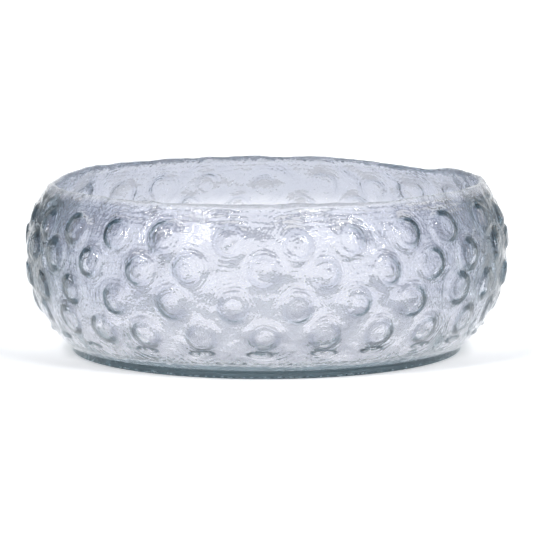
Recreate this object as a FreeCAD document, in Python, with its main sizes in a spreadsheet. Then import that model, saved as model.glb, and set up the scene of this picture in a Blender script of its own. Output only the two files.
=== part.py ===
"""A wide, low bowl of clear glass for floating candles.

One piece of glass: a thick floor on a short set-in foot, a wall that swells to a belly and
draws in again to a rounded lip, and four staggered rows of low round bosses on the outside,
each with a wide dimple behind it on the inside.

Frame: millimetres, +Z up along the bowl's axis, origin at the centre of the foot, on the
surface that the bowl stands on. -Y is the front.
"""
import FreeCAD, Part
import math
import os

import Sketcher
from FreeCAD import Vector

SIZES = [
    # name, value in millimetres (the count is plain), what it is
    ("bowl_height", 98.0, "from the table to the top of the lip"),
    ("belly_radius", 138.9, "widest place of the wall, without its bosses"),
    ("belly_height", 58.0, "height of that widest place"),
    ("wall_thickness", 4.0, "glass of the wall and the lip"),
    ("rim_draw", 14.4, "how far the lip's middle draws in from the belly"),
    ("heel_draw", 22.4, "how far the wall's lower end draws in from the belly"),
    ("foot_inset", 3.0, "how far the foot stands in from the wall's lower end"),
    ("foot_height", 5.0, "height of the foot's side"),
    ("foot_edge", 0.8, "rounding under the foot"),
    ("ring_width", 12.0, "flat ring that the bowl stands on"),
    ("recess_depth", 1.2, "hollow inside that ring"),
    ("recess_run", 6.0, "width of the slope into the hollow"),
    ("floor_rise", 4.0, "from the top of the foot to the floor inside"),
    ("floor_corner", 8.0, "rounding between floor and wall inside"),
    ("boss_radius", 11.5, "one boss, at the depth where it starts in the wall"),
    ("boss_height", 1.5, "how far a boss stands out of the wall"),
    ("boss_root", 1.0, "how deep a boss starts in the wall"),
    ("dimple_radius", 10.5, "one dimple, on the inside of the wall"),
    ("dimple_depth", 3.1, "how far a dimple goes into the wall from the inside"),
    ("dimple_reach", 2.0, "how far the dimple's cutter reaches into the bowl"),
    ("bosses_per_row", 25, "bosses in each row"),
    ("row_one_drop", 31.0, "centre of the lowest row, below the belly"),
    ("row_two_drop", 12.0, "centre of the second row, below the belly"),
    ("row_three_climb", 7.0, "centre of the third row, above the belly"),
    ("row_four_climb", 22.0, "centre of the highest row, above the belly"),
]

# The wall's section is two arcs that meet at the belly. Each arc has its centre at the belly's
# height, so its radius follows from how far it climbs and how far it draws in.
HEEL_RADIUS = "(Sizes.belly_radius - Sizes.heel_draw)"
FOOT_RADIUS = f"({HEEL_RADIUS} - Sizes.foot_inset)"
RING_INSIDE = f"({FOOT_RADIUS} - Sizes.ring_width)"
RECESS_RADIUS = f"({RING_INSIDE} - Sizes.recess_run)"
FLOOR_HEIGHT = "(Sizes.foot_height + Sizes.floor_rise)"
LIP_RADIUS = "(Sizes.belly_radius - Sizes.rim_draw)"
LIP_HEIGHT = "(Sizes.bowl_height - Sizes.wall_thickness / 2)"
LOWER_RISE = "(Sizes.belly_height - Sizes.foot_height)"
LOWER_ARC = f"(({LOWER_RISE}^2 + Sizes.heel_draw^2) / (2 * Sizes.heel_draw))"
UPPER_RISE = f"({LIP_HEIGHT} - Sizes.belly_height)"
UPPER_DRAW = "(Sizes.rim_draw - Sizes.wall_thickness / 2)"
UPPER_ARC = f"(({UPPER_RISE}^2 + {UPPER_DRAW}^2) / (2 * {UPPER_DRAW}) + Sizes.wall_thickness / 2)"

# A dimple is cut by a dome that starts inside the bowl, where it is wider than at the wall.
DIMPLE_ARC = "((Sizes.dimple_radius^2 + Sizes.dimple_depth^2) / (2 * Sizes.dimple_depth))"
DIMPLE_RISE = "(Sizes.dimple_reach + Sizes.dimple_depth)"
DIMPLE_BASE = f"sqrt(2 * {DIMPLE_ARC} * {DIMPLE_RISE} - {DIMPLE_RISE}^2)"

# The domes of one row: how deep the base lies under the face of the wall, how far the dome rises
# from it, and its radius there.
BOSS = ("Sizes.boss_root", "Sizes.boss_root + Sizes.boss_height", "Sizes.boss_radius")
DIMPLE = ("Sizes.wall_thickness + Sizes.dimple_reach", DIMPLE_RISE, DIMPLE_BASE)

# Each row of bosses: its height over the belly, and the arc of the wall that it stands on.
ROWS = [
    ("-Sizes.row_one_drop", LOWER_ARC),
    ("-Sizes.row_two_drop", LOWER_ARC),
    ("Sizes.row_three_climb", UPPER_ARC),
    ("Sizes.row_four_climb", UPPER_ARC),
]

# A sketch numbers the places on a curve in this order, and counts its own two axes downwards.
PLACES = ["all of it", "start", "end", "centre"]
AXES = ["level axis", "upright axis"]
ORIGIN = ("level axis", "start")


def fill_sheet(doc):
    """Write every driving dimension into the sheet, one row each, with its name as the alias."""
    sheet = doc.addObject("Spreadsheet::Sheet", "Sizes")
    for row, (name, value, meaning) in enumerate(SIZES, start=1):
        sheet.set(f"A{row}", name)
        sheet.set(f"B{row}", str(value))
        sheet.set(f"C{row}", meaning)
        sheet.setAlias(f"B{row}", name)
    doc.recompute()
    return sheet


def worth(sheet, expression):
    """The value in millimetres of an expression in the sheet's names."""
    return float(sheet.evalExpression(expression))


def origin_part(body, role):
    """One of the body's own origin planes or axes, found by its role."""
    for feature in body.Origin.OriginFeatures:
        if feature.Role == role:
            return feature
    raise LookupError(role)


def new_sketch(body, name, plane):
    sketch = body.newObject("Sketcher::SketchObject", name)
    sketch.AttachmentSupport = [(plane, "")]
    sketch.MapMode = "FlatFace"
    return sketch


def line(sketch, start, end):
    return sketch.addGeometry(Part.LineSegment(Vector(*start, 0), Vector(*end, 0)), False)


def arc(sketch, centre, radius, start_angle, end_angle):
    circle = Part.Circle(Vector(*centre, 0), Vector(0, 0, 1), radius)
    return sketch.addGeometry(Part.ArcOfCircle(circle, start_angle, end_angle), False)


def number_of(word):
    """The sketch's own number for the word of an axis or of a place on a curve."""
    return ~AXES.index(word) if word in AXES else PLACES.index(word)


def constrain(sketch, kind, *args):
    """Add a constraint. An axis and a place on a curve are given by their words."""
    numbers = [number_of(arg) if isinstance(arg, str) else arg for arg in args]
    return sketch.addConstraint(Sketcher.Constraint(kind, *numbers))


def dimension(sketch, sheet, kind, name, expression, *args):
    """A named dimension of the sketch that takes its value from the sheet."""
    index = constrain(sketch, kind, *args, worth(sheet, expression))
    sketch.renameConstraint(index, name)
    sketch.setExpression(f"Constraints.{name}", expression)


def wall_section(body, sheet):
    """Half of the bowl's section, from the axis round the inside, the lip and the outside."""
    wall = sheet.wall_thickness
    heel = (worth(sheet, HEEL_RADIUS), sheet.foot_height)
    foot = worth(sheet, FOOT_RADIUS)
    edge = sheet.foot_edge
    ring_inside = worth(sheet, RING_INSIDE)
    hollow = (worth(sheet, RECESS_RADIUS), sheet.recess_depth)
    floor_z = worth(sheet, FLOOR_HEIGHT)
    lip_centre = (worth(sheet, LIP_RADIUS), worth(sheet, LIP_HEIGHT))
    lower_radius = worth(sheet, LOWER_ARC)
    upper_radius = worth(sheet, UPPER_ARC)
    lower_centre = (sheet.belly_radius - lower_radius, sheet.belly_height)
    upper_centre = (sheet.belly_radius - upper_radius, sheet.belly_height)
    corner_z = floor_z + sheet.floor_corner
    corner_reach = lower_radius - wall - sheet.floor_corner
    corner_climb = math.asin((sheet.belly_height - corner_z) / corner_reach)
    corner_centre = (lower_centre[0] + corner_reach * math.cos(corner_climb), corner_z)
    lip_angle = math.asin((lip_centre[1] - upper_centre[1]) / (upper_radius - wall / 2))
    heel_angle = -math.asin((lower_centre[1] - heel[1]) / lower_radius)
    level, down = 0.0, -math.pi / 2

    sketch = new_sketch(body, "wall_section", origin_part(body, "YZ_Plane"))
    floor = line(sketch, (0, floor_z), (corner_centre[0], floor_z))
    corner = arc(sketch, corner_centre, sheet.floor_corner, down, -corner_climb)
    lower_in = arc(sketch, lower_centre, lower_radius - wall, -corner_climb, level)
    upper_in = arc(sketch, upper_centre, upper_radius - wall, level, lip_angle)
    lip = arc(sketch, lip_centre, wall / 2, lip_angle, lip_angle + math.pi)
    upper_out = arc(sketch, upper_centre, upper_radius, level, lip_angle)
    lower_out = arc(sketch, lower_centre, lower_radius, heel_angle, level)
    ledge = line(sketch, heel, (foot, heel[1]))
    side = line(sketch, (foot, heel[1]), (foot, edge))
    under = arc(sketch, (foot - edge, edge), edge, down, level)
    ring = line(sketch, (foot - edge, 0), (ring_inside, 0))
    slope = line(sketch, (ring_inside, 0), hollow)
    recess = line(sketch, hollow, (0, hollow[1]))
    axis = line(sketch, (0, hollow[1]), (0, floor_z))

    for ends in [(floor, "end", corner, "start"), (corner, "end", lower_in, "start"),
                 (lower_in, "end", upper_in, "start"), (upper_in, "end", lip, "end"),
                 (lip, "start", upper_out, "end"), (upper_out, "start", lower_out, "end"),
                 (side, "end", under, "end"), (under, "start", ring, "start")]:
        constrain(sketch, "Tangent", *ends)
    for ends in [(lower_out, "start", ledge, "start"), (ledge, "end", side, "start"),
                 (ring, "end", slope, "start"), (slope, "end", recess, "start"),
                 (recess, "end", axis, "start"), (axis, "end", floor, "start"),
                 (lower_in, "centre", lower_out, "centre"), (upper_in, "centre", upper_out, "centre")]:
        constrain(sketch, "Coincident", *ends)
    for flat in (floor, ledge, ring, recess):
        constrain(sketch, "Horizontal", flat)
    constrain(sketch, "Horizontal", upper_out, "centre", upper_out, "start")
    constrain(sketch, "Vertical", side)
    constrain(sketch, "PointOnObject", axis, "start", "upright axis")
    constrain(sketch, "PointOnObject", axis, "end", "upright axis")
    constrain(sketch, "PointOnObject", ring, "end", "level axis")

    belly, lip_middle, wall_end = (upper_out, "start"), (lip, "centre"), (lower_out, "start")
    for name, expression, place in [
            ("belly_radius", "Sizes.belly_radius", belly), ("lip_radius", LIP_RADIUS, lip_middle),
            ("heel_radius", HEEL_RADIUS, wall_end), ("foot_radius", FOOT_RADIUS, (side, "start")),
            ("ring_inside", RING_INSIDE, (ring, "end")), ("recess_radius", RECESS_RADIUS, (slope, "end"))]:
        dimension(sketch, sheet, "DistanceX", name, expression, *ORIGIN, *place)
    for name, expression, place in [
            ("belly_height", "Sizes.belly_height", belly), ("lip_height", LIP_HEIGHT, lip_middle),
            ("foot_height", "Sizes.foot_height", wall_end), ("floor_height", FLOOR_HEIGHT, (floor, "end")),
            ("recess_depth", "Sizes.recess_depth", (slope, "end"))]:
        dimension(sketch, sheet, "DistanceY", name, expression, *ORIGIN, *place)
    dimension(sketch, sheet, "DistanceX", "wall", "Sizes.wall_thickness", upper_in, "start", *belly)
    dimension(sketch, sheet, "Radius", "foot_edge", "Sizes.foot_edge", under)
    dimension(sketch, sheet, "Radius", "floor_corner", "Sizes.floor_corner", corner)
    return sketch


def dome_section(body, sheet, name, plane, over_belly, wall_arc, sizes):
    """Half of a low dome's section, drawn along the wall's own outward direction."""
    sketch = new_sketch(body, name, plane)
    climb = f"asin({over_belly} / {wall_arc})"
    reach = f"(Sizes.belly_radius - {wall_arc} + {wall_arc} * cos({climb}))"
    sketch.AttachmentOffset = FreeCAD.Placement(Vector(), FreeCAD.Rotation(Vector(0, 0, 1), 1))
    sketch.setExpression("AttachmentOffset.Base.x", f"-{reach}")
    sketch.setExpression("AttachmentOffset.Base.y", f"Sizes.belly_height + {over_belly}")
    sketch.setExpression("AttachmentOffset.Rotation.Angle", f"180 deg - {climb}")

    depth, rise, radius = [worth(sheet, size) for size in sizes]
    dome = (radius ** 2 + rise ** 2) / (2 * rise)
    dome_centre = (rise - depth - dome, 0)
    axis = line(sketch, (-depth, 0), (rise - depth, 0))
    cap = arc(sketch, dome_centre, dome, 0, math.atan2(radius, -depth - dome_centre[0]))
    back = line(sketch, (-depth, radius), (-depth, 0))
    for ends in [(axis, "end", cap, "start"), (cap, "end", back, "start"), (back, "end", axis, "start")]:
        constrain(sketch, "Coincident", *ends)
    constrain(sketch, "Vertical", back)
    for point in [(axis, "start"), (axis, "end"), (cap, "centre")]:
        constrain(sketch, "PointOnObject", *point, "level axis")
    dimension(sketch, sheet, "DistanceX", "depth", sizes[0], axis, "start", *ORIGIN)
    dimension(sketch, sheet, "DistanceX", "rise", sizes[1], axis, "start", axis, "end")
    dimension(sketch, sheet, "DistanceY", "radius", sizes[2], back, "end", back, "start")
    return sketch


def revolve(body, name, sketch, axis_name, kind="Revolution"):
    feature = body.newObject(f"PartDesign::{kind}", name)
    feature.Profile = sketch
    feature.ReferenceAxis = (sketch, [axis_name])
    feature.Angle = 360
    body.Tip = feature
    return feature


def ring_of(body, name, original):
    """Repeat one boss or dimple round the bowl's axis."""
    pattern = body.newObject("PartDesign::PolarPattern", name)
    pattern.Originals = [original]
    pattern.Axis = (origin_part(body, "Z_Axis"), [""])
    pattern.Angle = 360
    pattern.setExpression("Occurrences", "Sizes.bosses_per_row")
    body.Tip = pattern
    return pattern


def half_pitch_plane(body):
    """The upright plane that every second row starts from, half a boss further round."""
    plane = body.newObject("PartDesign::Plane", "half_pitch_plane")
    plane.AttachmentSupport = [(origin_part(body, "YZ_Plane"), "")]
    plane.MapMode = "FlatFace"
    plane.AttachmentOffset = FreeCAD.Placement(Vector(), FreeCAD.Rotation(Vector(0, 1, 0), 1))
    plane.setExpression("AttachmentOffset.Rotation.Angle", "180 deg / Sizes.bosses_per_row")
    return plane


def glass_bowl(doc, sheet):
    """The bowl: the turned wall, floor and foot, with its rows of bosses and dimples."""
    body = doc.addObject("PartDesign::Body", "glass_bowl")
    body.Label = "glass_bowl"
    body.Placement = FreeCAD.Placement()
    doc.recompute()
    revolve(body, "wall", wall_section(body, sheet), "V_Axis")
    doc.recompute()

    planes = [origin_part(body, "YZ_Plane"), half_pitch_plane(body)]
    for number, (over_belly, wall_arc) in enumerate(ROWS):
        place = (planes[number % len(planes)], over_belly, wall_arc)
        for word, sizes, kind in [("boss", BOSS, "Revolution"), ("dimple", DIMPLE, "Groove")]:
            before = body.Shape.Volume
            section = dome_section(body, sheet, f"{word}_section_{number}", *place, sizes)
            ring_of(body, f"{word}_row_{number}",
                    revolve(body, f"{word}_{number}", section, "H_Axis", kind))
            doc.recompute()
            print(f"row {number}, {word}: {body.Shape.Volume - before:+.0f} mm3")
    return body


def check(doc, parts):
    """Stop if any object of the document failed or any finished piece isn't one sound solid."""
    for item in doc.Objects:
        bad = [state for state in item.State if state in ("Invalid", "Error")]
        if bad:
            raise RuntimeError(f"{item.Name}: {bad}")
    for part in parts:
        if part.Shape.isNull() or not part.Shape.isValid() or len(part.Shape.Solids) != 1:
            raise RuntimeError(f"{part.Label} is not one sound solid")


def main():
    doc = FreeCAD.newDocument("floating_candle_bowl")
    sheet = fill_sheet(doc)
    parts = [glass_bowl(doc, sheet)]
    doc.recompute()
    check(doc, parts)
    os.makedirs("parts", exist_ok=True)
    for part in parts:
        part.Shape.exportStep(f"parts/{part.Label}.step")
        box = part.Shape.optimalBoundingBox(True, False)
        print(f"{part.Label}: {box.XLength:.2f} x {box.YLength:.2f} x {box.ZLength:.2f} mm, "
              f"{part.Shape.Volume / 1000:.1f} cm3 of glass, {len(part.Shape.Faces)} faces")


main()
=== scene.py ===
# %% [markdown]
# # A clear glass bowl for floating candles
#
# The object is one piece of pressed glass: a thick floor on a short foot, a wall that swells to a
# belly and draws in to a rounded lip, and four rows of round bosses on the outside. The lesson
# turns its outline into a closed wall, raises the bosses, lets the surface wander as hand-worked
# glass does, and gives it a glass whose colour comes from its slant and its depth, with painted
# shade on its edges, its foot and its far wall, and painted light on its thick floor.

import math
import random

import bmesh
import bpy
from mathutils import Matrix, Vector, kdtree


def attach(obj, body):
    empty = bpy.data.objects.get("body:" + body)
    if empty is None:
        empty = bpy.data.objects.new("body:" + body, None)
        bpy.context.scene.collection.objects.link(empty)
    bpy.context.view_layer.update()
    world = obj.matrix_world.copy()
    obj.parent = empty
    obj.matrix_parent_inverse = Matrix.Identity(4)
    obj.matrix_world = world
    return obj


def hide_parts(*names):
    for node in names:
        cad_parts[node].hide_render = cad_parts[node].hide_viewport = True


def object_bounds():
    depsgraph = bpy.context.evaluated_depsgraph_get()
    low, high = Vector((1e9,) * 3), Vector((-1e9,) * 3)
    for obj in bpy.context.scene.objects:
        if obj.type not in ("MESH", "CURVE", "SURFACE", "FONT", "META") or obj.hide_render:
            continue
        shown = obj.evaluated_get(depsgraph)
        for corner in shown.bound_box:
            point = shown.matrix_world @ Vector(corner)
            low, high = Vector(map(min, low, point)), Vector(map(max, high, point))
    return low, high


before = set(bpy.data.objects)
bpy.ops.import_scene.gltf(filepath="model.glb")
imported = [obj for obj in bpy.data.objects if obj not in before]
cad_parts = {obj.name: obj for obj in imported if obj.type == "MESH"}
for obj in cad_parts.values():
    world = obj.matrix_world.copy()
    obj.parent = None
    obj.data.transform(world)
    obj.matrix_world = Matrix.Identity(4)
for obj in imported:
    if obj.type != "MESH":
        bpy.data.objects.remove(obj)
cad_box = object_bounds()
print("frame holds", sorted(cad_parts), "in", [list(corner) for corner in cad_box])

# %% [markdown]
# ## Camera
#
# The photograph looks at the bowl from a little over the rim, through a long lens, so the far rim
# is almost as wide as the near one. The camera comes first, because everything is judged through
# it. Its place could be dragged until the view fits. Here it is four numbers, found from the two
# ellipses of the rim and the foot.

# %% Place the camera
IMAGE_SIDE = 533
SENSOR = 36.0
CAMERA_ELEVATION = math.radians(8.0)
CAMERA_DISTANCE = 1.935
CAMERA_LENS = 224.9
CAMERA_ROLL = math.radians(-0.14)
AIM = Vector((0.0, 0.0, 0.0467))
towards_camera = Vector((0.0, -math.cos(CAMERA_ELEVATION), math.sin(CAMERA_ELEVATION)))

camera_data = bpy.data.cameras.new("camera")
camera_data.lens = CAMERA_LENS
camera_data.sensor_width = SENSOR
camera_data.clip_end = 50.0
camera = bpy.data.objects.new("camera", camera_data)
bpy.context.scene.collection.objects.link(camera)
eye = AIM + towards_camera * CAMERA_DISTANCE
gaze = (-towards_camera).to_track_quat("-Z", "Y").to_matrix() @ Matrix.Rotation(CAMERA_ROLL, 3, "Z")
camera.matrix_world = Matrix.Translation(eye) @ gaze.to_4x4()
bpy.context.scene.camera = camera
print("camera at", [round(value, 3) for value in eye])

# %% [markdown]
# ## Outline
#
# A round pressed bowl is the same all the way round, so its wall is drawn once as a half section
# and spun. In edit mode a single point is pushed along the section: straight runs are extruded,
# and round stretches are made by spinning the point about the centre of the arc.

# %% Helpers that draw an outline
MERGE = 1e-5


def deselect_everything():
    for item in bpy.context.selected_objects:
        item.select_set(False)


def start_outline(name, place):
    """A new mesh object, in edit mode, that holds one selected point."""
    deselect_everything()
    bpy.ops.mesh.primitive_plane_add(size=0.01)
    piece = bpy.context.object
    piece.name = name
    piece.data.name = name
    bpy.ops.object.mode_set(mode="EDIT")
    bpy.ops.mesh.select_mode(type="VERT")
    bpy.ops.mesh.select_all(action="SELECT")
    bpy.ops.mesh.merge(type="CENTER")
    bpy.ops.transform.translate(value=(place[0], 0.0, place[1]))
    return piece


def run(step, pieces=1):
    """Push the selected point along a straight run, in a number of equal pieces."""
    for _ in range(pieces):
        bpy.ops.mesh.extrude_vertices_move(
            TRANSFORM_OT_translate={"value": (step[0] / pieces, 0.0, step[1] / pieces)})


def turn(centre, degrees, pieces):
    """Spin the selected point about a centre. Positive degrees climb on the right of it."""
    bpy.ops.mesh.spin(steps=pieces, angle=math.radians(degrees),
                      center=(centre[0], 0.0, centre[1]), axis=(0.0, 1.0, 0.0))


# %% [markdown]
# The section needs few sizes. Each half of the wall is an arc that stands upright at the belly, so
# its radius follows from how far it climbs and how far it draws in. The outside gets smaller
# pieces than the inside, because the bosses need them.

# %% Sizes of the section, in metres
BOWL_HEIGHT = cad_box[1][2]
BELLY_RADIUS, BELLY_HEIGHT = 0.1389, 0.058
WALL = 0.004
LIP_RADIUS, LIP_HEIGHT = 0.1245, BOWL_HEIGHT - WALL / 2
HEEL_RADIUS, FOOT_HEIGHT = 0.1165, 0.005
FOOT_RADIUS, FOOT_EDGE = 0.1135, 0.0008
RING_INSIDE = 0.1015
RECESS_RADIUS, RECESS_DEPTH = 0.0955, 0.0012
FLOOR_HEIGHT, FLOOR_CORNER = 0.009, 0.008
AROUND = 560
OUTER_GRAIN = 0.0011
INNER_GRAIN = 0.0018


def arc_radius(rise, draw):
    """Radius of an arc that starts upright and climbs by rise while it draws in by draw."""
    return (rise ** 2 + draw ** 2) / (2 * draw)


def pieces_of(radius, degrees, grain):
    """How many pieces of about one grain an arc takes."""
    return max(1, round(radius * math.radians(abs(degrees)) / grain))


lower_radius = arc_radius(BELLY_HEIGHT - FOOT_HEIGHT, BELLY_RADIUS - HEEL_RADIUS)
upper_middle = arc_radius(LIP_HEIGHT - BELLY_HEIGHT, BELLY_RADIUS - WALL / 2 - LIP_RADIUS)
upper_radius = upper_middle + WALL / 2
lower_centre = (BELLY_RADIUS - lower_radius, BELLY_HEIGHT)
upper_centre = (BELLY_RADIUS - upper_radius, BELLY_HEIGHT)
heel_angle = math.degrees(math.asin((BELLY_HEIGHT - FOOT_HEIGHT) / lower_radius))
lip_angle = math.degrees(math.asin((LIP_HEIGHT - BELLY_HEIGHT) / upper_middle))
corner_reach = lower_radius - WALL - FLOOR_CORNER
corner_height = FLOOR_HEIGHT + FLOOR_CORNER
corner_angle = math.degrees(math.asin((BELLY_HEIGHT - corner_height) / corner_reach))
corner_run = lower_centre[0] + corner_reach * math.cos(math.radians(corner_angle))
print("arcs of the wall", round(lower_radius, 4), round(upper_radius, 4))

# %% Draw the section and spin it
bowl = start_outline("bowl_of_glass", (0.0, FLOOR_HEIGHT))
run((corner_run, 0.0), 8)
turn((corner_run, corner_height), 90 - corner_angle, 5)
turn(lower_centre, corner_angle, pieces_of(lower_radius, corner_angle, INNER_GRAIN))
turn(upper_centre, lip_angle, pieces_of(upper_radius, lip_angle, INNER_GRAIN))
turn((LIP_RADIUS, LIP_HEIGHT), -180, 10)
turn(upper_centre, -lip_angle, pieces_of(upper_radius, lip_angle, OUTER_GRAIN))
turn(lower_centre, -heel_angle, pieces_of(lower_radius, heel_angle, OUTER_GRAIN))
run((FOOT_RADIUS - HEEL_RADIUS, 0.0), 2)
run((0.0, FOOT_EDGE - FOOT_HEIGHT), 2)
turn((FOOT_RADIUS - FOOT_EDGE, FOOT_EDGE), -90, 3)
run((RING_INSIDE - FOOT_RADIUS + FOOT_EDGE, 0.0), 2)
run((RECESS_RADIUS - RING_INSIDE, RECESS_DEPTH), 2)
run((-RECESS_RADIUS, 0.0), 4)
print("points of the section", len(bmesh.from_edit_mesh(bowl.data).verts))
bpy.ops.mesh.select_all(action="SELECT")
bpy.ops.mesh.spin(steps=AROUND, angle=math.tau, center=(0.0, 0.0, 0.0), axis=(0.0, 0.0, 1.0))
bpy.ops.mesh.select_all(action="SELECT")
bpy.ops.mesh.remove_doubles(threshold=MERGE)
bpy.ops.mesh.normals_make_consistent(inside=False)
bpy.ops.object.mode_set(mode="OBJECT")
print("faces of the plain bowl", len(bowl.data.polygons))

# %% [markdown]
# ## Where the bosses sit
#
# The mould has four rows of 25 bosses, each row half a step round from the next, but the glass
# was still soft when it left the mould, so no boss stands quite in its place. The ones that the
# photograph shows are placed one by one: the middle of each is read off in pixels, and the line of
# sight through that pixel is followed to the wall. The rest wander from an even row by chance.

# %% Follow a line of sight to the wall
SIGHT_STEP = 0.0002


def azimuth_of(point):
    """Degrees round from the front, where the camera stands."""
    return math.degrees(math.atan2(point.x, -point.y))


def apart(azimuth, other):
    """Degrees from one azimuth to another, the short way round."""
    return (azimuth - other + 180) % 360 - 180


def wall_radius(height):
    """Outer radius of the plain wall at a height."""
    centre, radius = (lower_centre, lower_radius) if height < BELLY_HEIGHT else (upper_centre, upper_radius)
    climb = min(abs(height - BELLY_HEIGHT), 0.999 * radius)
    return centre[0] + math.sqrt(radius ** 2 - climb ** 2)


def on_wall(across, down):
    """Azimuth from the front in degrees, and height, of the wall seen at a pixel."""
    side = IMAGE_SIDE * CAMERA_LENS / SENSOR
    sight = gaze @ Vector(((across - IMAGE_SIDE / 2) / side, (IMAGE_SIDE / 2 - down) / side, -1.0))
    reach = CAMERA_DISTANCE - 2 * BELLY_RADIUS
    while reach < CAMERA_DISTANCE + BELLY_RADIUS:
        point = eye + sight * reach
        if 0 < point.z < BOWL_HEIGHT and math.hypot(point.x, point.y) < wall_radius(point.z):
            return azimuth_of(point), point.z
        reach += SIGHT_STEP
    raise ValueError((across, down))


# %% Rows of bosses, and the pips under them, in pixels
PER_ROW = 25
TOP_ROW = [(116, 234), (164, 237), (229, 241), (298, 245), (351, 240), (407, 232), (446, 226), (484, 217)]
UPPER_ROW = [(89, 262), (138, 271), (187, 269), (263, 272), (326, 274), (388, 271), (434, 263)]
LOWER_ROW = [(115, 300), (172, 304), (233, 309), (298, 310), (358, 303), (413, 301)]
BOTTOM_ROW = [(104, 329), (146, 335), (201, 339), (265, 339), (325, 337), (379, 333), (425, 330)]
PIPS = [(94, 345), (147, 350), (202, 354), (260, 355), (324, 353), (372, 350), (420, 345)]
PIP_HEIGHT = 0.0150
ROW_RISE = {"top": 1.0, "upper": 1.0, "lower": 1.0, "bottom": 0.8}
ROW_HEIGHTS = {"top": 0.0795, "upper": 0.0650, "lower": 0.0455, "bottom": 0.0270}
SEEN = {"top": TOP_ROW, "upper": UPPER_ROW, "lower": LOWER_ROW, "bottom": BOTTOM_ROW}

# %% [markdown]
# No two bosses came out of the mould quite alike, so each one also gets its own size and its own
# rise. The chance has a fixed seed, so the bowl is the same one each time it is made.

# %% Give every boss its place and size
WANDER_AROUND, WANDER_UP = 1.6, 0.0014
SIZES, RISES = (0.93, 1.08), (0.82, 1.0)
chance = random.Random(11)


def row_of_bosses(row):
    """Azimuth and height of every boss of a row: the seen ones, then an even rest."""
    places = [on_wall(*pixel) for pixel in SEEN[row]]
    first, last = places[0][0], places[-1][0]
    rest = PER_ROW - len(places)
    gap = (360 - (last - first)) / (rest + 1)
    for step in range(1, rest + 1):
        places.append((last + gap * step + chance.uniform(-WANDER_AROUND, WANDER_AROUND),
                       ROW_HEIGHTS[row] + chance.uniform(-WANDER_UP, WANDER_UP)))
    return places


bosses = []
for row in ROW_HEIGHTS:
    places = row_of_bosses(row)
    for azimuth, height in places:
        turned = math.radians(azimuth)
        radius = wall_radius(height)
        bosses.append({"centre": Vector((radius * math.sin(turned), -radius * math.cos(turned), height)),
                       "size": chance.uniform(*SIZES),
                       "rise": ROW_RISE[row] * chance.uniform(*RISES)})
    print(row, "row:", [round(azimuth) for azimuth, _ in places[:len(SEEN[row])]])
finder = kdtree.KDTree(len(bosses))
for number, boss in enumerate(bosses):
    finder.insert(boss["centre"], number)
finder.balance()

# %% [markdown]
# Just over the foot the mould left a row of small flat ovals, one under each boss of the lowest
# row. The photograph shows seven of them, and the others follow at an even step.

# %% Place the pips
pips = [on_wall(*pixel) for pixel in PIPS]
first, last = pips[0][0], pips[-1][0]
more = PER_ROW - len(PIPS)
gap = (360 - (last - first)) / (more + 1)
pips += [(last + gap * step, PIP_HEIGHT) for step in range(1, more + 1)]
print("pips", len(pips), "first at", [round(value, 4) for value in pips[0]])

# %% [markdown]
# ## Raise the bosses
#
# Each boss could be a separate dome joined to the wall, but pressed glass has no seam. So the wall
# itself is pushed out. A vertex group says how far each point goes, from 0 to 1, and a Displace
# modifier does the pushing. A second group presses a shallow moat round each boss, and a third
# pushes the inside of the wall out behind it into a wider dimple. The boss has a flat top and a
# steep edge, which is what draws a ring in the glass. The dimple is what shrinks the view in it.

# %% Shapes of a boss, a dimple and a pip
BOSS_RADIUS = 0.0088
BOSS_RISE = 0.0015
BOSS_FLAT = 0.6
MOAT_DEPTH = 0.00035
MOAT_WIDTH = 0.0016
DIMPLE_RADIUS = 0.0110
DIMPLE_DEPTH = 0.0034
PIP_RISE = 0.0015
PIP_WIDE, PIP_TALL = 0.0070, 0.0019
CLEARANCE = 0.0005


def button(share):
    """Height of a flat boss with a steep edge, at a share of its radius."""
    fall = min(1.0, max(0.0, (share - BOSS_FLAT) / (1 - BOSS_FLAT)))
    return (1 - fall * fall * (3 - 2 * fall)) * (1 - 0.2 * share ** 2)


def dome(share):
    """Depth of a soft round dimple, at a share of its radius."""
    return (1 - share ** 2) ** 1.25 if share < 1 else 0.0


def is_outside(point):
    """True on the outer side of the wall, over the foot."""
    off_axis = math.hypot(point.x, point.y)
    return point.z > FOOT_HEIGHT + CLEARANCE and off_axis > wall_radius(point.z) - WALL * 0.4


def is_inside(point):
    """True on the inner side of the wall, over the floor."""
    off_axis = math.hypot(point.x, point.y)
    return point.z > FLOOR_HEIGHT + CLEARANCE and off_axis < wall_radius(point.z) - WALL * 0.6


def from_pip(point):
    """How far a place of the wall is from the nearest pip over the foot, as a share of its size."""
    around = azimuth_of(point)
    nearest = math.inf
    for azimuth, height in pips:
        off = math.radians(apart(around, azimuth)) * HEEL_RADIUS
        nearest = min(nearest, math.hypot(off / PIP_WIDE, (point.z - height) / PIP_TALL))
    return nearest


# %% [markdown]
# One walk over the points fills the four groups. It also notes four values that the shader asks for
# later: how far a point is from the nearest boss, how near to its steep edge, how far from the
# nearest pip, and whether it lies on the inside of the wall.

# %% Weigh the wall for the bosses
STEEP_AT, STEEP_SPREAD = 0.85, 0.32
FAR_FROM_BOSS, FAR_FROM_PIP = 0.03, 3.0
PIP_ZONE = 0.024

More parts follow.
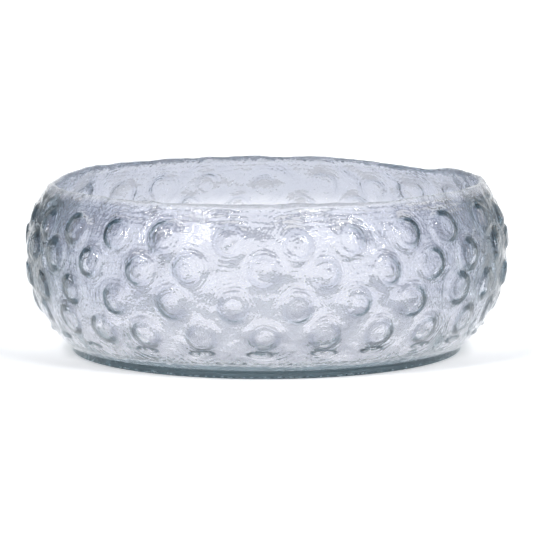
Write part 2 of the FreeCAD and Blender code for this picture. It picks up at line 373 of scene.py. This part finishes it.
groups = {name: bowl.vertex_groups.new(name=name) for name in ("boss", "moat", "dimple", "pip")}
from_boss = [FAR_FROM_BOSS] * len(bowl.data.vertices)
pip_share = [FAR_FROM_PIP] * len(bowl.data.vertices)
steep = [0.0] * len(bowl.data.vertices)
inner = [0.0] * len(bowl.data.vertices)
for vertex in bowl.data.vertices:
    place = vertex.co
    outside, inside = is_outside(place), is_inside(place)
    if not (outside or inside):
        continue
    lift = moat = dimple = 0.0
    for _, number, distance in finder.find_n(place, 3):
        boss = bosses[number]
        edge = BOSS_RADIUS * boss["size"]
        lift = max(lift, boss["rise"] * button(distance / edge))
        moat = max(moat, math.exp(-((distance - edge - MOAT_WIDTH) / MOAT_WIDTH) ** 2))
        level = math.sqrt(max(distance ** 2 - WALL ** 2, 0.0))
        dimple = max(dimple, boss["rise"] * dome(level / (DIMPLE_RADIUS * boss["size"])))
        from_boss[vertex.index] = min(from_boss[vertex.index], distance)
        steep[vertex.index] = max(steep[vertex.index], dome(abs(distance / edge - STEEP_AT) / STEEP_SPREAD))
    inner[vertex.index] = float(inside)
    if outside:
        groups["boss"].add([vertex.index], lift, "REPLACE")
        groups["moat"].add([vertex.index], moat, "REPLACE")
        if place.z < PIP_ZONE:
            share = from_pip(place)
            groups["pip"].add([vertex.index], dome(share), "REPLACE")
            pip_share[vertex.index] = min(share, FAR_FROM_PIP)
    else:
        groups["dimple"].add([vertex.index], dimple, "REPLACE")
noted = {"from_boss": from_boss, "steep": steep, "pip_share": pip_share, "inner": inner}
for name, values in noted.items():
    bowl.data.attributes.new(name, "FLOAT", "POINT").data.foreach_set("value", values)
print("bosses", len(bosses))

# %% [markdown]
# ## Hand-worked surface
#
# Glass that was pressed and then fire-polished is nowhere quite flat: it swells and sinks over a
# few centimetres, and the rim sags where it was hottest. A Clouds texture under a Displace
# modifier gives the swell. A weighted push along Z lets the rim down in two places, at the back on
# the right and at the left end. The foot stays flat, because it was ground to stand.

# %% Weigh the wall for waves and the sagging rim
SWELL = 0.0018
SWELL_SIZE = 0.024
RIPPLE = 0.0010
RIPPLE_SIZE = 0.012
WAVES_GROW = 0.012
SAGS = [(134, 17, 0.0030), (-97, 15, 0.0026)]

wall_waves = bowl.vertex_groups.new(name="wall_waves")
for vertex in bowl.data.vertices:
    free = min(1.0, max(0.0, (vertex.co.z - FOOT_HEIGHT) / WAVES_GROW))
    wall_waves.add([vertex.index], free, "REPLACE")
for number, (middle, width, _) in enumerate(SAGS):
    sag = bowl.vertex_groups.new(name=f"sag_{number}")
    for vertex in bowl.data.vertices:
        high = (vertex.co.z - BELLY_HEIGHT) / (BOWL_HEIGHT - BELLY_HEIGHT)
        if high > 0:
            off = apart(azimuth_of(vertex.co), middle) / width
            sag.add([vertex.index], high ** 2 * math.exp(-off ** 2), "REPLACE")
print("places where the rim sags", len(SAGS))

# %% [markdown]
# The pushes run in the order of the real work: first what the mould pressed, then what the flame
# softened. Each modifier is applied at once, so that the next one starts from the shape it left.

# %% Push the wall
def displace(name, strength, group, direction="NORMAL", mid_level=0.0, texture=None):
    """Push the points of a group of the bowl, and keep the result."""
    modifier = bowl.modifiers.new(name, "DISPLACE")
    modifier.strength = strength
    modifier.mid_level = mid_level
    modifier.direction = direction
    modifier.vertex_group = group
    if texture:
        modifier.texture = texture
        modifier.texture_coords = "LOCAL"
    bpy.context.view_layer.objects.active = bowl
    bpy.ops.object.modifier_apply(modifier=name)


def clouds(name, size, depth=1):
    """A soft cloudy texture with spots of a size in metres."""
    texture = bpy.data.textures.new(name, "CLOUDS")
    texture.noise_scale = size
    texture.noise_depth = depth
    return texture


displace("raise bosses", BOSS_RISE, "boss")
displace("press moats", -MOAT_DEPTH, "moat")
displace("push dimples", -DIMPLE_DEPTH, "dimple")
displace("raise pips", PIP_RISE, "pip")
displace("swell", SWELL, "wall_waves", mid_level=0.5, texture=clouds("swell", SWELL_SIZE))
displace("ripple", RIPPLE, "wall_waves", mid_level=0.5, texture=clouds("ripple", RIPPLE_SIZE))
for number, (_, _, depth) in enumerate(SAGS):
    displace(f"sag {number}", -depth, f"sag_{number}", direction="Z")
bpy.ops.object.shade_smooth()
print("bowl size", [round(value, 4) for value in bowl.dimensions])

# %% [markdown]
# ## Clear glass
#
# The real glass is nearly clear where one looks straight through it, lavender grey where the wall
# leans, and blue-green along its edges, where light goes a long way through. The edges are also
# dark with painted shade, for the dark surroundings that they bend the view towards. A volume alone
# makes the foot black before the wall has any colour. So the slant of the surface gives most of it,
# and a thin Volume Absorption adds the depth. The shader is a Principled BSDF with full
# transmission and the refraction of common glass. A few small helpers keep the node work short.

# %% A shader for clear glass
glass = bpy.data.materials.new("lavender_grey_glass")
glass.use_nodes = True
nodes, links = glass.node_tree.nodes, glass.node_tree.links
shader = nodes["Principled BSDF"]
shader.inputs["IOR"].default_value = 1.5
shader.inputs["Transmission Weight"].default_value = 1.0
place = nodes.new("ShaderNodeTexCoord")
split = nodes.new("ShaderNodeSeparateXYZ")
links.new(place.outputs["Object"], split.inputs["Vector"])


def calculate(operation, first, second=None):
    """A Math node. Each of its inputs is a socket or a plain number."""
    node = nodes.new("ShaderNodeMath")
    node.operation = operation
    for number, value in enumerate((first, second)):
        if isinstance(value, bpy.types.NodeSocket):
            links.new(value, node.inputs[number])
        elif value is not None:
            node.inputs[number].default_value = value
    return node.outputs["Value"]


def smooth_step(value, start, end, low=0.0, high=1.0):
    """A soft step from low to high while the value goes from start to end."""
    node = nodes.new("ShaderNodeMapRange")
    node.interpolation_type = "SMOOTHSTEP"
    links.new(value, node.inputs["Value"])
    for name, number in zip(("From Min", "From Max", "To Min", "To Max"), (start, end, low, high)):
        node.inputs[name].default_value = number
    return node.outputs["Result"]


# %% [markdown]
# The surface carries three kinds of fine relief, too fine for the mesh. Small ripples lie all over
# it, faint rings run round each boss where the mould pressed it, and level lines run under the lip,
# where the glass was turned in the flame. Each is a Bump node, and each hands its normal on. The
# rings are a sine of the distance from the nearest boss, and a noise makes them waver.

# %% Ripples, rings and lines
RIPPLE_SCALE = 260.0
RIPPLE_DEPTH = 0.00050
RING_STEP = 0.0023
RING_DEPTH = 0.00003
LINE_SCALE = 110.0
LINE_DEPTH = 0.00008
LINE_WAVER = 3.0
LINES_START, LINES_END = 0.082, 0.090
RING_WAVER, RING_WAVER_SCALE = 9.0, 90.0


def noise(scale, detail=1.0):
    """Noise laid out in the bowl's own space."""
    node = nodes.new("ShaderNodeTexNoise")
    node.inputs["Scale"].default_value = scale
    node.inputs["Detail"].default_value = detail
    links.new(place.outputs["Object"], node.inputs["Vector"])
    return node.outputs["Fac"]


def stored(name):
    """A value that the mesh holds at each point."""
    node = nodes.new("ShaderNodeAttribute")
    node.attribute_name = name
    return node.outputs["Fac"]


def bump(height, depth, below=None):
    """Fine relief from a height, on top of the relief below it."""
    node = nodes.new("ShaderNodeBump")
    node.inputs["Distance"].default_value = depth
    links.new(height, node.inputs["Height"])
    if below:
        links.new(below, node.inputs["Normal"])
    return node.outputs["Normal"]


ripples = bump(noise(RIPPLE_SCALE, 2.0), RIPPLE_DEPTH)
turns = calculate("MULTIPLY", stored("from_boss"), math.tau / RING_STEP)
wavering = calculate("MULTIPLY", noise(RING_WAVER_SCALE), RING_WAVER)
rings = bump(calculate("SINE", calculate("ADD", turns, wavering)), RING_DEPTH, ripples)
lines = nodes.new("ShaderNodeTexWave")
lines.bands_direction = "Z"
lines.inputs["Scale"].default_value = LINE_SCALE
lines.inputs["Distortion"].default_value = LINE_WAVER
links.new(place.outputs["Object"], lines.inputs["Vector"])
under_lip = smooth_step(split.outputs["Z"], LINES_START, LINES_END)
surface = bump(calculate("MULTIPLY", lines.outputs["Fac"], under_lip), LINE_DEPTH, rings)
links.new(surface, shader.inputs["Normal"])

# %% [markdown]
# The first colour goes by slant: a Layer Weight node says how far the surface turns away, and a ramp
# gives the colour. Face on it is the glass's own pale lavender. Towards its dark end it is partly the
# long way that light goes through a leaning wall, and partly painted shade, for the dark surroundings
# that a leaning surface bends the view towards. At the steep edge of a boss it counts for more, and
# that paints the dark outlines at both ends of the bowl. Low down it counts for less, since the wall
# there leans away all round.

# %% Tint and painted edge shade by slant
# The dark stops of this ramp are painted shade at the edges of the glass.
SLANT_TINTS_AND_EDGE_SHADE = [
    (0.00, (0.86, 0.865, 0.905)),
    (0.06, (0.835, 0.843, 0.89)),
    (0.20, (0.67, 0.685, 0.765)),
    (0.46, (0.58, 0.62, 0.69)),
    (0.57, (0.30, 0.37, 0.42)),
    (0.66, (0.015, 0.035, 0.05)),
]
# More slant at the steep edge of a boss, which paints its dark outline as painted shade.
STEEP_SLANT = 0.55
STEEP_KEEPS = 0.15
LOW_STARTS, LOW_ENDS, LOW_EASE = 0.050, 0.024, 0.35

slant = nodes.new("ShaderNodeLayerWeight")
slant.inputs["Blend"].default_value = 0.5
links.new(surface, slant.inputs["Normal"])
steeper = calculate("MULTIPLY", slant.outputs["Facing"],
                    smooth_step(stored("steep"), 0.0, 1.0, 1.0, 1.0 + STEEP_SLANT))
plain = smooth_step(stored("steep"), 0.0, 1.0, 1.0, STEEP_KEEPS)
ease = calculate("MULTIPLY", plain, smooth_step(split.outputs["Z"], LOW_STARTS, LOW_ENDS, 0.0, LOW_EASE))
eased = calculate("SUBTRACT", steeper, ease)
# A ramp gives the glass colour by slant, with painted shade at its dark end.
slant_tint_and_shade = nodes.new("ShaderNodeValToRGB")
for number, (position, colour) in enumerate(SLANT_TINTS_AND_EDGE_SHADE):
    stop = slant_tint_and_shade.color_ramp.elements[0] if number == 0 else slant_tint_and_shade.color_ramp.elements.new(position)
    stop.position = position
    stop.color = (*colour, 1.0)
slant_tint_and_shade.color_ramp.elements.remove(slant_tint_and_shade.color_ramp.elements[-1])
links.new(eased, slant_tint_and_shade.inputs["Fac"])

# %% [markdown]
# The other colours are laid over it, one by one. The lip is paler, in the plain colour of the glass.
# The thick floor is paler still, with painted light for the light it gathers. The ring of the foot is
# dark with painted shade, where the bowl stands on the floor and light runs a long way along it, but
# the middle of the underside stays clear. Each pip has a thin dark outline of painted shade. The last
# layer darkens the far wall with painted shade, seen through the open mouth: there light has crossed
# one wall only, and the photograph shows its plainest lavender.

# %% Tint, painted light and painted shade by height
LIP_TINT = (0.85, 0.86, 0.90)
LIP_STARTS, LIP_ENDS = 0.092, 0.096
# Painted light: low down, the thick floor of the glass is paler than the glass itself.
GLASS_FLOOR_PAINTED_LIGHT = (0.94, 0.938, 0.97)
FLOOR_STARTS, FLOOR_ENDS = 0.038, 0.013
# Painted shade on the ring of the foot, where the bowl stands on the floor.
FOOT_PAINTED_SHADE = (0.085, 0.13, 0.15)
FOOT_STARTS, FOOT_ENDS = 0.0058, 0.0046
RING_STARTS, RING_ENDS = 0.097, 0.103
PIP_EDGE, PIP_EDGE_WIDTH = 0.90, 0.34
# Painted shade round the edge of each pip.
PIP_EDGE_PAINTED_SHADE = (0.04, 0.07, 0.09)
# Painted shade on the far wall, seen through the open mouth.
FAR_WALL_PAINTED_SHADE = (0.36, 0.382, 0.455)
FAR_STARTS, FAR_ENDS = 0.062, 0.076


def blend(below, colour, share):
    """Lay a plain colour over a colour socket, as far as the share says."""
    node = nodes.new("ShaderNodeMix")
    node.data_type = "RGBA"
    links.new(share, node.inputs["Factor"])
    links.new(below, node.inputs["A"])
    node.inputs["B"].default_value = (*colour, 1.0)
    return node.outputs["Result"]


height = split.outputs["Z"]
tint_with_painted_light_and_shade = blend(slant_tint_and_shade.outputs["Color"], LIP_TINT, smooth_step(height, LIP_STARTS, LIP_ENDS))
# Painted light on the thick floor, low down and away from the steep edges of the bosses.
low = calculate("MULTIPLY", plain, smooth_step(height, FLOOR_STARTS, FLOOR_ENDS))
tint_with_painted_light_and_shade = blend(tint_with_painted_light_and_shade, GLASS_FLOOR_PAINTED_LIGHT, low)
# A thin ring of painted shade round each pip.
off_edge = calculate("ABSOLUTE", calculate("SUBTRACT", stored("pip_share"), PIP_EDGE))
tint_with_painted_light_and_shade = blend(tint_with_painted_light_and_shade, PIP_EDGE_PAINTED_SHADE, smooth_step(off_edge, 0.0, PIP_EDGE_WIDTH, 1.0, 0.0))
# Painted shade on the ring of the foot, low down and out past the recess.
across = calculate("MULTIPLY", split.outputs["X"], split.outputs["X"])
along = calculate("MULTIPLY", split.outputs["Y"], split.outputs["Y"])
off_axis = calculate("SQRT", calculate("ADD", across, along))
foot = calculate("MULTIPLY", smooth_step(height, FOOT_STARTS, FOOT_ENDS),
                 smooth_step(off_axis, RING_STARTS, RING_ENDS))
tint_with_painted_light_and_shade = blend(tint_with_painted_light_and_shade, FOOT_PAINTED_SHADE, foot)
# Painted shade on the far wall: inner faces seen from the front, high up.
sides = nodes.new("ShaderNodeNewGeometry")
entered = calculate("SUBTRACT", stored("inner"), sides.outputs["Backfacing"])
far = calculate("MULTIPLY", calculate("MAXIMUM", entered, 0.0), smooth_step(height, FAR_STARTS, FAR_ENDS))
tint_with_painted_light_and_shade = blend(tint_with_painted_light_and_shade, FAR_WALL_PAINTED_SHADE, far)
# The glass colour, with painted light and painted shade laid in, goes to the Base Color.
links.new(tint_with_painted_light_and_shade, shader.inputs["Base Color"])

# %% [markdown]
# A real glass bowl throws a pale shadow, because light gets through it. Cycles would have to find
# each bent path by chance, so here part of the light is let straight through: for shadow rays the
# Alpha goes down, and for all others it stays at one. The lip is a little cloudy and rougher, as
# glass is where a flame has rounded it.

# %% Depth, cloudy lip and pale shadow
DEPTH_TINT = (0.20, 0.42, 0.50)
DEPTH_DENSITY = 4.0
SHADOW_PASSES = 0.40
CLOUD_STARTS, CLOUD_ENDS = 0.0945, 0.0965
LIP_CLOUD, LIP_HAZE = 0.16, 0.22
WALL_HAZE, WALL_HAZE_SCALE = 0.05, 22.0
HAZE_STARTS, HAZE_ENDS = 0.45, 0.75

light_path = nodes.new("ShaderNodeLightPath")
held_back = calculate("MULTIPLY", light_path.outputs["Is Shadow Ray"], SHADOW_PASSES)
links.new(calculate("SUBTRACT", 1.0, held_back), shader.inputs["Alpha"])

absorb = nodes.new("ShaderNodeVolumeAbsorption")
absorb.inputs["Color"].default_value = (*DEPTH_TINT, 1.0)
absorb.inputs["Density"].default_value = DEPTH_DENSITY
links.new(absorb.outputs["Volume"], nodes["Material Output"].inputs["Volume"])
clear = smooth_step(height, CLOUD_STARTS, CLOUD_ENDS, 1.0, 1.0 - LIP_CLOUD)
links.new(clear, shader.inputs["Transmission Weight"])
patches = smooth_step(noise(WALL_HAZE_SCALE), HAZE_STARTS, HAZE_ENDS, 0.0, WALL_HAZE)
lip_haze = smooth_step(height, CLOUD_STARTS, CLOUD_ENDS, 0.0, LIP_HAZE)
links.new(calculate("MAXIMUM", patches, lip_haze), shader.inputs["Roughness"])
print("shader nodes of the glass", len(nodes))

# %% [markdown]
# The bowl gets its glass and is tied to the frame: it rides the one body and stands in for the
# plain solid of the same name.

# %% Dress the bowl
bowl.data.materials.append(glass)
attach(bowl, "root")
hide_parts("glass_bowl")

# %% [markdown]
# ## Floor
#
# The photograph stands the bowl on plain white. The floor paint is a pale one, so that it doesn't
# flood the glass with light. Rays from the camera, and through or off glass, see it brightened to
# white, and it still keeps the shadow of the bowl.

# %% Floor
FLOOR_PAINT = 0.80
FLOOR_SEEN = 1.45

deselect_everything()
bpy.ops.mesh.primitive_plane_add(size=16.0)
floor = bpy.context.object
floor.name = "floor"
paint = bpy.data.materials.new("floor_paint")
paint.use_nodes = True
nodes, links = paint.node_tree.nodes, paint.node_tree.links
nodes.clear()
matt = nodes.new("ShaderNodeBsdfDiffuse")
out = nodes.new("ShaderNodeOutputMaterial")
links.new(matt.outputs["BSDF"], out.inputs["Surface"])
rays = nodes.new("ShaderNodeLightPath")
seen = calculate("MAXIMUM", rays.outputs["Is Camera Ray"], rays.outputs["Is Glossy Ray"])
seen = calculate("MAXIMUM", seen, rays.outputs["Is Transmission Ray"])
links.new(smooth_step(seen, 0.0, 1.0, FLOOR_PAINT, FLOOR_SEEN), matt.inputs["Color"])
floor.data.materials.append(paint)

# %% [markdown]
# ## Light
#
# The bowl stands in a plain pale room, white near the horizon and dimmer overhead, so that edges
# which bend the view upwards turn darker. Its sides are dimmer too, the left more than the right:
# both ends of the bowl bend the view sideways, and there the photograph has its darkest glass.

# %% Room
HORIZON, OVERHEAD = (1.0, 1.0, 1.0), (0.50, 0.52, 0.55)
DIMS_FROM, DIMS_TO = 0.30, 0.62
SIDES_START, SIDES_END = 0.22, 0.60
LEFT_LEVEL, RIGHT_LEVEL = 0.32, 0.55
world = bpy.data.worlds.new("studio")
bpy.context.scene.world = world
world.use_nodes = True
nodes, links = world.node_tree.nodes, world.node_tree.links
background = nodes["Background"]
direction = nodes.new("ShaderNodeTexCoord")
split = nodes.new("ShaderNodeSeparateXYZ")
links.new(direction.outputs["Generated"], split.inputs["Vector"])
room = nodes.new("ShaderNodeValToRGB")
for stop, position, colour in zip(room.color_ramp.elements, (DIMS_FROM, DIMS_TO), (HORIZON, OVERHEAD)):
    stop.position = position
    stop.color = (*colour, 1.0)
links.new(split.outputs["Z"], room.inputs["Fac"])
links.new(room.outputs["Color"], background.inputs["Color"])
left = smooth_step(split.outputs["X"], -SIDES_START, -SIDES_END, 1.0, LEFT_LEVEL)
right = smooth_step(split.outputs["X"], SIDES_START, SIDES_END, 1.0, RIGHT_LEVEL)
links.new(calculate("MINIMUM", left, right), background.inputs["Strength"])

# %% [markdown]
# Three small windows far off at each side of the camera, and above it, make the white glints on the
# bosses. One large lamp would do, but it makes one broad patch of white on a smooth wall, where the
# photograph has many specks. Distant lamps with a narrow disc light the floor evenly as well.

# %% Windows
PANES = [(38, 40), (46, 30), (54, 40)]
PANE_WIDTH, PANE_LIGHT = 5.5, 0.37


def window(name, azimuth, elevation):
    """A distant lamp, turned towards the bowl from a direction in degrees."""
    data = bpy.data.lights.new(name, "SUN")
    data.angle = math.radians(PANE_WIDTH)
    data.energy = PANE_LIGHT
    lamp = bpy.data.objects.new(name, data)
    bpy.context.scene.collection.objects.link(lamp)
    turned, raised = math.radians(azimuth), math.radians(elevation)
    where = Vector((math.sin(turned) * math.cos(raised), -math.cos(turned) * math.cos(raised),
                    math.sin(raised)))
    lamp.location = where
    lamp.rotation_euler = where.to_track_quat("Z", "Y").to_euler()


for side, sign in (("left", -1), ("right", 1)):
    for number, (azimuth, elevation) in enumerate(PANES):
        window(f"window_{side}_{number}", sign * azimuth, elevation)

# %% [markdown]
# Light crosses up to eight surfaces on its way through both walls and the floor, and many more
# inside the foot, so the bounces go up. The colours are shown as they are, without a film look.

# %% Bounces and colours
BOUNCES = 32
bpy.context.scene.cycles.max_bounces = BOUNCES
bpy.context.scene.cycles.transmission_bounces = BOUNCES
bpy.context.scene.cycles.glossy_bounces = BOUNCES
bpy.context.scene.view_settings.view_transform = "Standard"
